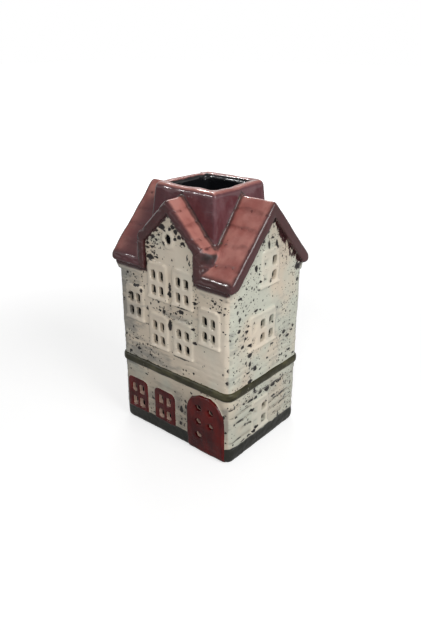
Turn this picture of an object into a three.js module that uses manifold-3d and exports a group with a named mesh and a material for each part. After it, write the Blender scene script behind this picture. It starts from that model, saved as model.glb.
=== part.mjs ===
// House candle holder: a tall two-storey house in glazed ceramic, luted together from clay slabs.
// Millimetres, +Z up, front of the house towards -Y; the origin is on the table under the middle of it.
import * as THREE from 'three';
import { mergeVertices } from 'three/addons/utils/BufferGeometryUtils.js';
import Module from 'manifold-3d';

const wasm = await Module();
wasm.setup();

// Body of the house
const HOUSE_WIDTH = 91;
const HOUSE_DEPTH = 72.6;
const WALL = 5;
const FLOOR = 5;
const CORNER_RADIUS = 5;

// Heights of the storeys, from the table up
const PLINTH_HEIGHT = 10.5;
const GROUND_STOREY = 34;
const BELT_HEIGHT = 6;
const UPPER_STOREY = 63.4;
const BELT_PROUD = 1.3;
const BELT_CHAMFER = 1.1;

// Main roof
const ROOF_PITCH = 46.5;
const ROOF_THICKNESS = 7;
const EAVE_FACE = 5;
const EAVE_OVERHANG = 2.4;
const GABLE_OVERHANG = 3.1;

// Dormer, whose ridge lines up with the main ridge and whose front lines up with the eaves
const DORMER_WIDTH = 45.6;
const DORMER_PITCH = 45;
const DORMER_ROOF_THICKNESS = 6.3;
const DORMER_EAVE = 1.5;
const CHEEK = 3.3;

// Square smoke opening on the crossing of the ridges
const CHIMNEY_WIDTH = 48;
const CHIMNEY_WALL = 7.5;
const CHIMNEY_RISE = 4.1;
const CHIMNEY_FLARE = 2.6;
const RIM_CHAMFER = 1.8;

// Door
const DOOR_WIDTH = 28.7;
const DOOR_PROUD = 2;
const DOOR_TOP_CLEARANCE = 0.7;
const DOOR_INSET = 17.9;
const DOOR_HOLE_WIDTH = 4.8;
const DOOR_HOLE_HEIGHT = 4.2;
const DOOR_HOLE_SPACING = 9.8;
const DOOR_HOLE_DROP = 10.2;

// Places of the windows, measured to the middle of their panes
const PAIR_SPACING = 20.1;
const DORMER_WINDOW_DROP = 7;
const CENTRE_WINDOW_RISE = 23.4;
const SINGLE_WINDOW_DROP = 26;
const SINGLE_WINDOW_INSET = 15;
const RED_WINDOW_RISE = 10.4;
const RED_WINDOW_INSET = 13.7;
const RED_WINDOW_SPACING = 24.8;
const ATTIC_WINDOW_RISE = 5;
const GABLE_WINDOW_RISE = 31.2;
const GABLE_GROUND_RISE = 12.3;
const GABLE_WINDOW_SHIFT = -5.2;
const BACK_WINDOW_SPACING = 27;

// Round window in the dormer gable
const OCULUS_WIDTH = 4.9;
const OCULUS_HEIGHT = 6.4;
const OCULUS_RIM = 2.2;
const OCULUS_PROUD = 1.2;
const OCULUS_RISE = 22;

// Opening at the back for the tea light
const BACK_OPENING_WIDTH = 46;
const BACK_OPENING_HEIGHT = 32;
const BACK_OPENING_CORNER = 15;

// Gap that slanted faces keep where one slab rests on another, and how far a cutter runs past what it cuts
const SEAT_GAP = 0.3;
const PAST = 1;

// Window patterns: pane and bar sizes, and the frame around them
const creamWindow = {
  paneWidth: 3.7, paneHeight: 6, mullion: 2.6, transom: 3.4,
  side: 2.75, head: 5.4, foot: 1.6, corner: 2.6, proud: 1.2, sillHeight: 1.5, sillProud: 0.7,
};
const gableWindow = {
  paneWidth: 4.4, paneHeight: 5.4, mullion: 4, transom: 3.6,
  side: 2.4, head: 5.4, foot: 1.6, corner: 2.6, proud: 1.2, sillHeight: 1.5, sillProud: 0.7,
};
const redWindow = {
  paneWidth: 4.2, paneHeight: 6.6, mullion: 2.4, transom: 3.8,
  side: 3.6, head: 4, foot: 1.9, corner: 5, proud: 1.2, sillHeight: 0, sillProud: 0,
};

// Glazes
const CREAM_GLAZE = { color: 0xd6d0bf, roughness: 0.35, metalness: 0 };
const ROOF_GLAZE = { color: 0x86474a, roughness: 0.25, metalness: 0 };
const OLIVE_GLAZE = { color: 0x55543f, roughness: 0.4, metalness: 0 };
const PLINTH_GLAZE = { color: 0x3f403a, roughness: 0.5, metalness: 0 };
const RED_GLAZE = { color: 0x6e1a1c, roughness: 0.25, metalness: 0 };

// Levels and half sizes that follow from the driving sizes
const halfWidth = HOUSE_WIDTH / 2;
const halfDepth = HOUSE_DEPTH / 2;
const beltZ = PLINTH_HEIGHT + GROUND_STOREY;
const beltTopZ = beltZ + BELT_HEIGHT;
const eaveZ = beltTopZ + UPPER_STOREY;
const eaveY = halfDepth + EAVE_OVERHANG;
const gableX = halfWidth + GABLE_OVERHANG;
const roofSlope = Math.tan(THREE.MathUtils.degToRad(ROOF_PITCH));
const roofRise = ROOF_THICKNESS / Math.cos(THREE.MathUtils.degToRad(ROOF_PITCH));
const roofGapRise = SEAT_GAP / Math.cos(THREE.MathUtils.degToRad(ROOF_PITCH));
const ridgeZ = eaveZ + EAVE_FACE + eaveY * roofSlope;
const dormerSlope = Math.tan(THREE.MathUtils.degToRad(DORMER_PITCH));
const dormerRise = DORMER_ROOF_THICKNESS / Math.cos(THREE.MathUtils.degToRad(DORMER_PITCH));
const dormerGapRise = SEAT_GAP / Math.cos(THREE.MathUtils.degToRad(DORMER_PITCH));
const cheekOuter = DORMER_WIDTH / 2;
const cheekInner = cheekOuter - CHEEK;
const dormerEaveX = cheekOuter + DORMER_EAVE;
const chimneyHalf = CHIMNEY_WIDTH / 2;
const boreHalf = chimneyHalf - CHIMNEY_WALL;
const rimZ = ridgeZ + CHIMNEY_RISE;

// Solids from three.js geometry
function toSolid(geometry) {
  const bare = geometry.clone();
  bare.deleteAttribute('normal');
  bare.deleteAttribute('uv');
  const merged = mergeVertices(bare, 1e-4);
  return new wasm.Manifold(new wasm.Mesh({
    numProp: 3,
    vertProperties: new Float32Array(merged.attributes.position.array),
    triVerts: new Uint32Array(merged.index.array),
  }));
}

function toGeometry(solid) {
  const mesh = solid.getMesh();
  const geometry = new THREE.BufferGeometry();
  geometry.setAttribute('position', new THREE.BufferAttribute(new Float32Array(mesh.vertProperties), 3));
  geometry.setIndex(new THREE.BufferAttribute(new Uint32Array(mesh.triVerts), 1));
  geometry.computeVertexNormals();
  return geometry;
}

function box(x, y, z) {
  const size = [x, y, z].map(([low, high]) => high - low);
  const middle = [x, y, z].map(([low, high]) => (low + high) / 2);
  return toSolid(new THREE.BoxGeometry(...size).translate(...middle));
}

// A flat outline pushed along one axis: the outline is in the other two, (x, y), (y, z) or (x, z)
function prism(axis, outline, [low, high]) {
  const points = outline.map(([a, b]) => new THREE.Vector2(a, b));
  const shape = new THREE.Shape(points.filter((point, i) => !point.equals(points[(i + 1) % points.length])));
  const geometry = new THREE.ExtrudeGeometry(shape, { depth: high - low, bevelEnabled: false });
  geometry.translate(0, 0, low);
  if (axis === 'x') {
    geometry.applyMatrix4(new THREE.Matrix4().makeBasis(
      new THREE.Vector3(0, 1, 0), new THREE.Vector3(0, 0, 1), new THREE.Vector3(1, 0, 0)));
  }
  if (axis === 'y') {
    geometry.translate(0, 0, -low - high);
    geometry.applyMatrix4(new THREE.Matrix4().makeBasis(
      new THREE.Vector3(1, 0, 0), new THREE.Vector3(0, 0, 1), new THREE.Vector3(0, -1, 0)));
  }
  return toSolid(geometry);
}

function mirrored(points) {
  return points.map(([a, b]) => [-a, b]).reverse();
}

// Outlines are lists of points, anticlockwise, with arcs in a few facets
const QUARTER = Math.PI / 2;
const CORNER_FACETS = 4;
const ARCH_FACETS = 8;
const PANE_FACETS = 1;
const OVAL_FACETS = 12;

function arc([a, b], [radiusA, radiusB], start, sweep, facets) {
  return Array.from({ length: facets + 1 }, (_, i) => {
    const angle = start + sweep * i / facets;
    return [a + radiusA * Math.cos(angle), b + radiusB * Math.sin(angle)];
  });
}

function roundedOutline(width, depth, radius) {
  const x = width / 2 - radius;
  const y = depth / 2 - radius;
  const corners = [[x, y], [-x, y], [-x, -y], [x, -y]];
  return corners.flatMap((centre, i) => arc(centre, [radius, radius], i * QUARTER, QUARTER, CORNER_FACETS));
}

function archedOutline(u, bottom, width, height, radius, facets) {
  const half = width / 2;
  const round = [radius, radius];
  const springing = bottom + height - radius;
  return [
    [u - half, bottom],
    [u + half, bottom],
    ...arc([u + half - radius, springing], round, 0, QUARTER, facets),
    ...arc([u - half + radius, springing], round, QUARTER, QUARTER, facets),
  ];
}

function ovalOutline(u, z, width, height) {
  return arc([u, z], [width / 2, height / 2], 0, 4 * QUARTER, OVAL_FACETS).slice(1);
}

// The four walls that panels are pressed on: a plate lies between two distances out from the middle
const faces = {
  front: { axis: 'y', side: -1, reach: halfDepth },
  back: { axis: 'y', side: 1, reach: halfDepth },
  left: { axis: 'x', side: -1, reach: halfWidth },
  right: { axis: 'x', side: 1, reach: halfWidth },
};

function plate(faceName, outline, inward, outward) {
  const { axis, side, reach } = faces[faceName];
  const near = side * (reach - inward);
  const far = side * (reach + outward);
  return prism(axis, outline, [Math.min(near, far), Math.max(near, far)]);
}

// Windows and door: each is a panel with its holes, and the same holes go through the wall behind it
function windowSize(pattern, columns) {
  const { paneWidth, paneHeight, mullion, transom, side, head, foot } = pattern;
  const width = columns * paneWidth + (columns - 1) * mullion + 2 * side;
  const height = foot + 2 * paneHeight + transom + head;
  return { width, height };
}

function makeWindow({ name, face, u, z, pattern, columns = 2, blind = [], glaze = CREAM_GLAZE }) {
  const { paneWidth, paneHeight, mullion, transom, foot, corner, proud, sillHeight, sillProud } = pattern;
  const { width, height } = windowSize(pattern, columns);
  const bottom = z - transom / 2 - paneHeight - foot;
  let panel = plate(face, archedOutline(u, bottom, width, height, corner, CORNER_FACETS), 0, proud);
  if (sillHeight > 0) {
    const sillWidth = width + 2 * sillProud;
    const sill = archedOutline(u, bottom - sillHeight, sillWidth, sillHeight, sillHeight / 3, PANE_FACETS);
    panel = panel.add(plate(face, sill, 0, proud + sillProud));
  }
  const holes = [];
  for (let column = 0; column < columns; column += 1) {
    for (let row = 0; row < 2; row += 1) {
      const paneU = u + (column - (columns - 1) / 2) * (paneWidth + mullion);
      const paneBottom = bottom + foot + row * (paneHeight + transom);
      const pane = archedOutline(paneU, paneBottom, paneWidth, paneHeight, paneWidth / 4, PANE_FACETS);
      panel = panel.subtract(plate(face, pane, PAST, proud + PAST));
      if (!blind.includes(column)) holes.push(pane);
    }
  }
  return { name, face, panel, holes, glaze };
}

function makeDoor() {
  const u = halfWidth - DOOR_INSET;
  const height = beltZ - DOOR_TOP_CLEARANCE;
  const leaf = archedOutline(u, 0, DOOR_WIDTH, height, DOOR_WIDTH / 2, ARCH_FACETS);
  let panel = plate('front', leaf, 0, DOOR_PROUD);
  const holes = [];
  const topRow = height - DOOR_HOLE_DROP;
  const left = u - DOOR_HOLE_SPACING / 2;
  for (const [row, columns] of [[0, 2], [1, 2], [2, 1]]) {
    for (let column = 0; column < columns; column += 1) {
      const z = topRow - row * DOOR_HOLE_SPACING;
      const hole = ovalOutline(left + column * DOOR_HOLE_SPACING, z, DOOR_HOLE_WIDTH, DOOR_HOLE_HEIGHT);
      panel = panel.subtract(plate('front', hole, PAST, DOOR_PROUD + PAST));
      holes.push(hole);
    }
  }
  return { name: 'front_door', face: 'front', panel, holes, glaze: RED_GLAZE };
}

function makeOculus() {
  const z = eaveZ + OCULUS_RISE;
  const rim = ovalOutline(0, z, OCULUS_WIDTH + 2 * OCULUS_RIM, OCULUS_HEIGHT + 2 * OCULUS_RIM);
  const hole = ovalOutline(0, z, OCULUS_WIDTH, OCULUS_HEIGHT);
  const cutter = plate('front', hole, PAST, OCULUS_PROUD + PAST);
  const panel = plate('front', rim, 0, OCULUS_PROUD).subtract(cutter);
  return { name: 'oculus_ring', face: 'front', panel, holes: [hole], glaze: CREAM_GLAZE };
}

const dormerWindowZ = eaveZ - DORMER_WINDOW_DROP;
const centreWindowZ = beltTopZ + CENTRE_WINDOW_RISE;
const singleWindowZ = eaveZ - SINGLE_WINDOW_DROP;
const singleWindowU = halfWidth - SINGLE_WINDOW_INSET;
const redWindowZ = PLINTH_HEIGHT + RED_WINDOW_RISE;
const redWindowU = -halfWidth + RED_WINDOW_INSET;

const fittings = [makeDoor(), makeOculus()];
for (const [place, step] of [['left', 0], ['middle', 1]]) {
  fittings.push(makeWindow({
    name: `red_window_${place}`,
    face: 'front',
    u: redWindowU + step * RED_WINDOW_SPACING,
    z: redWindowZ,
    pattern: redWindow,
    glaze: RED_GLAZE,
  }));
}
for (const [side, sign] of [['left', -1], ['right', 1]]) {
  const front = { face: 'front', pattern: creamWindow };
  const gable = { face: side, pattern: gableWindow, blind: [0] };
  const pairU = sign * PAIR_SPACING / 2;
  const atticZ = eaveZ + ATTIC_WINDOW_RISE;
  const upperZ = beltTopZ + GABLE_WINDOW_RISE;
  const groundZ = PLINTH_HEIGHT + GABLE_GROUND_RISE;
  fittings.push(
    makeWindow({ name: `dormer_window_${side}`, u: pairU, z: dormerWindowZ, ...front }),
    makeWindow({ name: `centre_window_${side}`, u: pairU, z: centreWindowZ, ...front }),
    makeWindow({ name: `front_window_${side}`, u: sign * singleWindowU, z: singleWindowZ, ...front }),
    makeWindow({ name: `${side}_gable_attic_window`, u: 0, z: atticZ, ...gable }),
    makeWindow({ name: `${side}_gable_upper_window`, u: GABLE_WINDOW_SHIFT, z: upperZ, columns: 3, ...gable }),
    makeWindow({ name: `${side}_gable_ground_window`, u: GABLE_WINDOW_SHIFT, z: groundZ, ...gable }),
  );
}
for (const [place, step] of [['left', -1], ['middle', 0], ['right', 1]]) {
  fittings.push(makeWindow({
    name: `back_window_${place}`,
    face: 'back',
    u: step * BACK_WINDOW_SPACING,
    z: singleWindowZ,
    pattern: creamWindow,
  }));
}

function pierced(wall, faceName) {
  let result = wall;
  for (const { face, holes } of fittings) {
    if (face !== faceName) continue;
    for (const hole of holes) result = result.subtract(plate(face, hole, WALL + PAST, PAST));
  }
  return result;
}

// Roof sections, grown by a gap on their slanted faces where they are used as cutters
function mainSection(gap) {
  const rise = gap * roofGapRise;
  const under = ridgeZ - roofRise - rise;
  return [
    [0, under],
    [0, ridgeZ + rise],
    [-eaveY, eaveZ + EAVE_FACE + rise],
    [-eaveY, eaveZ],
    [-(under - eaveZ) / roofSlope, eaveZ],
  ];
}

function dormerSection(gap) {
  const rise = gap * dormerGapRise;
  const drop = dormerEaveX * dormerSlope;
  return [
    [0, ridgeZ - dormerRise - rise],
    [0, ridgeZ + rise],
    [-dormerEaveX, ridgeZ - drop + rise],
    [-dormerEaveX, ridgeZ - drop - dormerRise - rise],
  ];
}

const fullWidth = [-gableX, gableX];
const mainFrontCutter = prism('x', mainSection(1), fullWidth);
const mainBackCutter = prism('x', mirrored(mainSection(1)), fullWidth);
const boreHole = box([-boreHalf, boreHalf], [-boreHalf, boreHalf], [eaveZ, rimZ + PAST]);

// The valley, where a main slope and a dormer slope are equally high, seen from above
const valleyRatio = dormerSlope / roofSlope;
const valleyY = (x) => -x * valleyRatio;

function frontRoof() {
  const plan = [
    [-gableX, 0],
    [-gableX, -eaveY],
    [-cheekOuter, -eaveY],
    [-cheekOuter, valleyY(cheekOuter)],
    [-boreHalf, valleyY(boreHalf)],
    [-boreHalf, 0],
  ];
  return prism('x', mainSection(0), fullWidth).intersect(prism('z', plan, [0, rimZ])).subtract(boreHole);
}

function backRoof() {
  return prism('x', mirrored(mainSection(0)), fullWidth).subtract(boreHole);
}

function dormerRoof() {
  const gap = SEAT_GAP * Math.hypot(1, valleyRatio);
  const plan = [
    [0, -boreHalf],
    [-boreHalf, -boreHalf],
    [-boreHalf, Math.min(valleyY(boreHalf), -boreHalf) - gap],
    [-dormerEaveX, valleyY(dormerEaveX) - gap],
    [-dormerEaveX, -eaveY],
    [0, -eaveY],
  ];
  const overMain = prism('x', mainSection(1), [-gableX, -cheekOuter]);
  return prism('y', dormerSection(0), [-eaveY, 0])
    .intersect(prism('z', plan, [0, rimZ]))
    .subtract(overMain)
    .subtract(boreHole);
}

function cheek() {
  const under = ridgeZ - roofRise;
  const backY = -chimneyHalf;
  const outline = [
    [-eaveY, eaveZ],
    [-(under - eaveZ) / roofSlope, eaveZ],
    [backY, under + backY * roofSlope],
    [backY, ridgeZ],
    [-eaveY, ridgeZ],
  ];
  const top = (x) => ridgeZ - dormerRise - dormerGapRise - x * dormerSlope;
  const roomBelowDormer = [
    [-cheekOuter, eaveZ],
    [-cheekInner, eaveZ],
    [-cheekInner, top(cheekInner)],
    [-cheekOuter, top(cheekOuter)],
  ];
  return prism('x', outline, [-cheekOuter, -cheekInner]).intersect(prism('y', roomBelowDormer, [-eaveY, 0]));
}

// Walls
const footprint = roundedOutline(HOUSE_WIDTH, HOUSE_DEPTH, CORNER_RADIUS);
const shell = prism('z', footprint, [PLINTH_HEIGHT, rimZ]);
const innerX = halfWidth - WALL;
const innerY = halfDepth - WALL;

function frontWall() {
  const wallTop = eaveZ + EAVE_FACE;
  const lower = box([-halfWidth, halfWidth], [-halfDepth, -innerY], [PLINTH_HEIGHT, wallTop])
    .subtract(box([-cheekOuter, cheekOuter], [-eaveY, 0], [eaveZ, rimZ]));
  const apex = ridgeZ - dormerRise - dormerGapRise;
  const gable = prism('y', [
    [-cheekInner, PLINTH_HEIGHT],
    [cheekInner, PLINTH_HEIGHT],
    [cheekInner, apex - cheekInner * dormerSlope],
    [0, apex],
    [-cheekInner, apex - cheekInner * dormerSlope],
  ], [-halfDepth, -innerY]);
  return pierced(lower.subtract(mainFrontCutter).add(gable).intersect(shell), 'front');
}

function backWall() {
  const wallTop = eaveZ + EAVE_FACE;
  const slab = box([-halfWidth, halfWidth], [innerY, halfDepth], [PLINTH_HEIGHT, wallTop])
    .subtract(mainBackCutter);
  const [width, height] = [BACK_OPENING_WIDTH, BACK_OPENING_HEIGHT + PAST];
  const opening = archedOutline(0, PLINTH_HEIGHT - PAST, width, height, BACK_OPENING_CORNER, ARCH_FACETS);
  return pierced(slab.intersect(shell), 'back').subtract(plate('back', opening, WALL + PAST, PAST));
}

function gableWall(sideName, sideSign) {
  const span = [sideSign * innerX, sideSign * halfWidth].sort((a, b) => a - b);
  const apex = ridgeZ - roofRise - roofGapRise;
  const shoulder = apex - innerY * roofSlope;
  const outline = [
    [-innerY, PLINTH_HEIGHT],
    [innerY, PLINTH_HEIGHT],
    [innerY, shoulder],
    [0, apex],
    [-innerY, shoulder],
  ];
  return pierced(prism('x', outline, span).intersect(shell), sideName);
}

function baseTray() {
  const hollow = box([-innerX, innerX], [-innerY, innerY], [FLOOR, PLINTH_HEIGHT + PAST]);
  return prism('z', footprint, [0, PLINTH_HEIGHT]).subtract(hollow);
}

// The belt is a roll of clay pressed round the walls, chamfered above and below
function stringCourse() {
  const ring = (proud) => {
    return roundedOutline(HOUSE_WIDTH + 2 * proud, HOUSE_DEPTH + 2 * proud, CORNER_RADIUS + proud);
  };
  const wallOutline = roundedOutline(HOUSE_WIDTH, HOUSE_DEPTH, CORNER_RADIUS - SEAT_GAP);
  return prism('z', ring(BELT_PROUD), [beltZ + BELT_CHAMFER, beltTopZ - BELT_CHAMFER])
    .add(prism('z', ring(BELT_PROUD - BELT_CHAMFER / 2), [beltZ, beltTopZ]))
    .subtract(prism('z', wallOutline, [0, rimZ]));
}

// The square frame round the smoke opening, wider at its foot, resting on the four slopes
function squareFrustum(lowHalf, highHalf, [low, high]) {
  const [highRadius, lowRadius] = [highHalf * Math.SQRT2, lowHalf * Math.SQRT2];
  const geometry = new THREE.CylinderGeometry(highRadius, lowRadius, high - low, 4, 1, false, QUARTER / 2);
  return toSolid(geometry.rotateX(QUARTER).translate(0, 0, (low + high) / 2));
}

function chimney() {
  const footHalf = chimneyHalf + CHIMNEY_FLARE;
  const footZ = ridgeZ - footHalf * Math.max(roofSlope, dormerSlope);
  const shoulderZ = rimZ - RIM_CHAMFER;
  const mainMass = [[0, eaveZ], ...mainSection(1).slice(1, 4)];
  const dormerMass = [[0, eaveZ], ...dormerSection(1).slice(1, 3), [-dormerEaveX, eaveZ]];
  return squareFrustum(footHalf, chimneyHalf, [footZ, shoulderZ])
    .add(squareFrustum(chimneyHalf, chimneyHalf - RIM_CHAMFER, [shoulderZ, rimZ]))
    .subtract(boreHole)
    .subtract(squareFrustum(boreHalf, boreHalf + 2 * RIM_CHAMFER, [shoulderZ, rimZ + RIM_CHAMFER]))
    .subtract(prism('x', mainMass, fullWidth))
    .subtract(prism('x', mirrored(mainMass), fullWidth))
    .subtract(prism('y', dormerMass, [-eaveY, 0]))
    .subtract(prism('y', mirrored(dormerMass), [-eaveY, 0]));
}

// The assembly
const house = new THREE.Group();

function addPart(name, solid, glaze) {
  const mesh = new THREE.Mesh(toGeometry(solid), new THREE.MeshStandardMaterial(glaze));
  mesh.name = name;
  house.add(mesh);
}

addPart('base_tray', baseTray(), PLINTH_GLAZE);
addPart('front_wall', frontWall(), CREAM_GLAZE);
addPart('back_wall', backWall(), CREAM_GLAZE);
addPart('left_gable_wall', gableWall('left', -1), CREAM_GLAZE);
addPart('right_gable_wall', gableWall('right', 1), CREAM_GLAZE);
addPart('string_course', stringCourse(), OLIVE_GLAZE);
addPart('front_roof_left', frontRoof(), ROOF_GLAZE);
addPart('front_roof_right', frontRoof().mirror([1, 0, 0]), ROOF_GLAZE);
addPart('back_roof', backRoof(), ROOF_GLAZE);
addPart('dormer_roof_left', dormerRoof(), ROOF_GLAZE);
addPart('dormer_roof_right', dormerRoof().mirror([1, 0, 0]), ROOF_GLAZE);
addPart('dormer_cheek_left', cheek(), ROOF_GLAZE);
addPart('dormer_cheek_right', cheek().mirror([1, 0, 0]), ROOF_GLAZE);
addPart('chimney_frame', chimney(), ROOF_GLAZE);
for (const { name, panel, glaze } of fittings) addPart(name, panel, glaze);

export default house;
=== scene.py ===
# House candle holder in glazed ceramic: the looks of each piece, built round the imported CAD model.
# Sizes are in millimetres, in the frame of the model, with the front of the house towards -Y.
import math

import bpy
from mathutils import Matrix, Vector


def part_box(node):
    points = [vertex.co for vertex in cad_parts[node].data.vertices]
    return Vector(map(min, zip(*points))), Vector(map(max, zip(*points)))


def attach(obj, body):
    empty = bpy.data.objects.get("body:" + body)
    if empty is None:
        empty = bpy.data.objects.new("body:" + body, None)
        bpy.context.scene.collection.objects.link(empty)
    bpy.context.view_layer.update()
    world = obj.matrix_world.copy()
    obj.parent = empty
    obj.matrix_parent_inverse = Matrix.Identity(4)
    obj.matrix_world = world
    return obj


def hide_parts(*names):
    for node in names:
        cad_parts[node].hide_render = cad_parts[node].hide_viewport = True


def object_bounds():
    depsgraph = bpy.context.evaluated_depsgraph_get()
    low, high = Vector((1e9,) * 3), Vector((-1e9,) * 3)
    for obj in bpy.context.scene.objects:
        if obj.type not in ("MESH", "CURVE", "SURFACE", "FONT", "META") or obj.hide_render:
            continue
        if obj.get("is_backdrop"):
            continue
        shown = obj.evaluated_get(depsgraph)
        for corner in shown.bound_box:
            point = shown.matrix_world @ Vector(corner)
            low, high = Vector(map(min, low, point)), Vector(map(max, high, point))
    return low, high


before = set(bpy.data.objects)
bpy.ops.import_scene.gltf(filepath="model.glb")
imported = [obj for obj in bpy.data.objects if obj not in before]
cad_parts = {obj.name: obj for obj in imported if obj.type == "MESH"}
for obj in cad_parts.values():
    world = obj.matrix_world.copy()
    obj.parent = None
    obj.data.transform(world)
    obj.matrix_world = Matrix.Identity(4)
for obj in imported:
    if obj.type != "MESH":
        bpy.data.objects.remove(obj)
cad_low, cad_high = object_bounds()

# Walls
# Four slabs of pale clay, luted at round corners into one tube, with a gable at each side and the dormer front
# rising out of the front slab. What is luted on them in the next sections is fired with them as one body, and
# the fired body is cut into its pieces at the end of them.
MM = 0.001
ROOF_PITCH = math.radians(46.5)
ROOF_THICKNESS = 7.0
DORMER_PITCH = math.radians(45)
DORMER_THICKNESS = 6.3
CORNER_RADIUS = 5.0
BED = 3.0
COVE_DROP = 5.0
COVE_REACH = 1.9
COVE_TOP = 1.5
SAME = 0.01


def take(piece):
    bpy.ops.object.select_all(action="DESELECT")
    piece.select_set(True)
    bpy.context.view_layer.objects.active = piece


def cad_box(node):
    low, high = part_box(node)
    return low / MM, high / MM


def block(name, low, high):
    middle = (Vector(low) + Vector(high)) / 2
    bpy.ops.object.select_all(action="DESELECT")
    bpy.ops.mesh.primitive_cube_add(size=MM, location=middle * MM, scale=Vector(high) - Vector(low))
    bpy.ops.object.transform_apply(location=True, rotation=True, scale=True)
    piece = bpy.context.object
    piece.name = name
    return piece


def slice_off(piece, point, normal):
    take(piece)
    bpy.ops.object.mode_set(mode="EDIT")
    bpy.ops.mesh.select_all(action="SELECT")
    bpy.ops.mesh.bisect(plane_co=Vector(point) * MM, plane_no=normal, use_fill=True, clear_outer=True)
    bpy.ops.object.mode_set(mode="OBJECT")


def pick(piece, kind, parts, wanted):
    """Selects the vertices or edges of a piece that a test wants, and leaves the piece in edit mode."""
    take(piece)
    bpy.ops.object.mode_set(mode="EDIT")
    bpy.ops.mesh.select_mode(type=kind)
    bpy.ops.mesh.select_all(action="DESELECT")
    bpy.ops.object.mode_set(mode="OBJECT")
    for part in getattr(piece.data, parts):
        part.select = wanted(part)
    bpy.ops.object.mode_set(mode="EDIT")


def round_edges(piece, radius, wanted, segments=4):
    """Rounds the edges whose two ends, in millimetres, pass a test."""
    places = [vertex.co / MM for vertex in piece.data.vertices]
    pick(piece, "EDGE", "edges", lambda edge: wanted(*(places[i] for i in edge.vertices)))
    bpy.ops.mesh.bevel(offset=radius * MM, segments=segments, affect="EDGES")
    bpy.ops.object.mode_set(mode="OBJECT")


def carve(piece, tool, operation="DIFFERENCE"):
    take(piece)
    modifier = piece.modifiers.new("carve", "BOOLEAN")
    modifier.operation = operation
    modifier.object = tool
    modifier.solver = "MANIFOLD"
    bpy.ops.object.modifier_apply(modifier=modifier.name)
    bpy.data.objects.remove(tool)


def along_y(a, b):
    return abs(a.x - b.x) < SAME and abs(a.z - b.z) < SAME


def upright(a, b):
    return abs(a.x - b.x) < SAME and abs(a.y - b.y) < SAME


front_low, front_high = cad_box("front_wall")
roof_low, roof_high = cad_box("back_roof")
cheek_low, cheek_high = cad_box("dormer_cheek_right")
half_width = cad_box("right_gable_wall")[1].x
half_depth = -front_low.y
wall = front_high.y - front_low.y
plinth_z = cad_box("base_tray")[1].z
eave_z = roof_low.z
ridge_z = roof_high.z


def gable_planes(piece, apex, pitch, across):
    """Slices a piece to two slopes under an apex; across is the axis that they fall along."""
    for side in (-1, 1):
        normal = Vector((0, 0, math.cos(pitch)))
        normal[across] = side * math.sin(pitch)
        slice_off(piece, (0, 0, apex), normal)


def below_ridge(depth, pitch):
    """The height on the ridge line of a plane that lies this deep under a slope."""
    return ridge_z - depth / math.cos(pitch)


house = block("house", (-half_width, -half_depth, 0), (half_width, half_depth, ridge_z))
round_edges(house, CORNER_RADIUS, upright, 5)
gable_planes(house, below_ridge(ROOF_THICKNESS - BED, ROOF_PITCH), ROOF_PITCH, 1)
dormer_front = block("dormer_front", (-cheek_low.x - 0.5, -half_depth, eave_z - BED),
                     (cheek_low.x + 0.5, -half_depth + wall, ridge_z))
gable_planes(dormer_front, below_ridge(DORMER_THICKNESS - BED, DORMER_PITCH), DORMER_PITCH, 0)
carve(house, dormer_front, "UNION")

# The walls lean out in a cove under the eaves, beside the dormer and along the back
lean = math.atan2(COVE_DROP, COVE_REACH)
for side, low_x, high_x in ((-1, cheek_high.x - 1, half_width - 1), (-1, 1 - half_width, 1 - cheek_high.x),
                            (1, 1 - half_width, half_width - 1)):
    low_y, high_y = sorted((side * (half_depth - 1), side * (half_depth + COVE_REACH)))
    cove = block("cove", (low_x, low_y, eave_z - COVE_DROP), (high_x, high_y, eave_z + COVE_TOP))
    slice_off(cove, (0, side * half_depth, eave_z - COVE_DROP), (0, side * math.sin(lean), -math.cos(lean)))
    carve(house, cove, "UNION")

OPENING_WIDTH = 46
OPENING_HEIGHT = 32
OPENING_CORNER = 15
opening = block("opening", (-OPENING_WIDTH / 2, half_depth - wall - 3, plinth_z),
                (OPENING_WIDTH / 2, half_depth + 1, plinth_z + OPENING_HEIGHT))
round_edges(opening, OPENING_CORNER, lambda a, b: along_y(a, b) and a.z > plinth_z + 1, 10)
carve(house, opening)

# Base tray
# The floor slab with the low foot of the walls round it, its lower edge rubbed round so that it doesn't chip.
# The foot is dipped in dark olive-grey glaze, which stops at a ragged line just above it.
FOOT_RADIUS = 3.2
round_edges(house, FOOT_RADIUS, lambda a, b: a.z < SAME and b.z < SAME)

# Windows
# Small clay plates pressed on the walls, with four panes cut through, a bead over their head and a thin sill.
# On the upper floors they are cream, glazed thicker than the wall; two on the ground floor are deep red.
PLATE_PROUD = 0.8
PLATE_BED = 2.5
PANE_CORNER = 1.0
BLIND_DEPTH = 0.55
BEAD_HEIGHT = 1.7
BEAD_PROUD = 0.4
CREAM_PANES = {"pane": (3.7, 6.0), "bars": (2.6, 3.4), "foot": 1.6, "sill": (1.5, 0.7), "corner": 2.6}
GABLE_PANES = {"pane": (4.4, 5.4), "bars": (4.0, 3.6), "foot": 1.6, "sill": (1.5, 0.7), "corner": 2.6}
RED_PANES = {"pane": (4.2, 6.6), "bars": (2.4, 3.8), "foot": 1.9, "sill": (0.0, 0.0), "corner": 3.6}
windows = [(f"red_window_{place}", "front", RED_PANES, 2, ()) for place in ("left", "middle")]
windows += [(f"back_window_{place}", "back", CREAM_PANES, 2, ()) for place in ("left", "middle", "right")]
for place in ("left", "right"):
    windows += [(f"{row}_window_{place}", "front", CREAM_PANES, 2, ()) for row in ("dormer", "centre", "front")]
    windows += [(f"{place}_gable_{level}_window", place, GABLE_PANES, columns, (0,))
                for level, columns in (("attic", 2), ("upper", 3), ("ground", 2))]
FACES = {"front": (0, 1, -1), "back": (0, 1, 1), "left": (1, 0, -1), "right": (1, 0, 1)}


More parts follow.
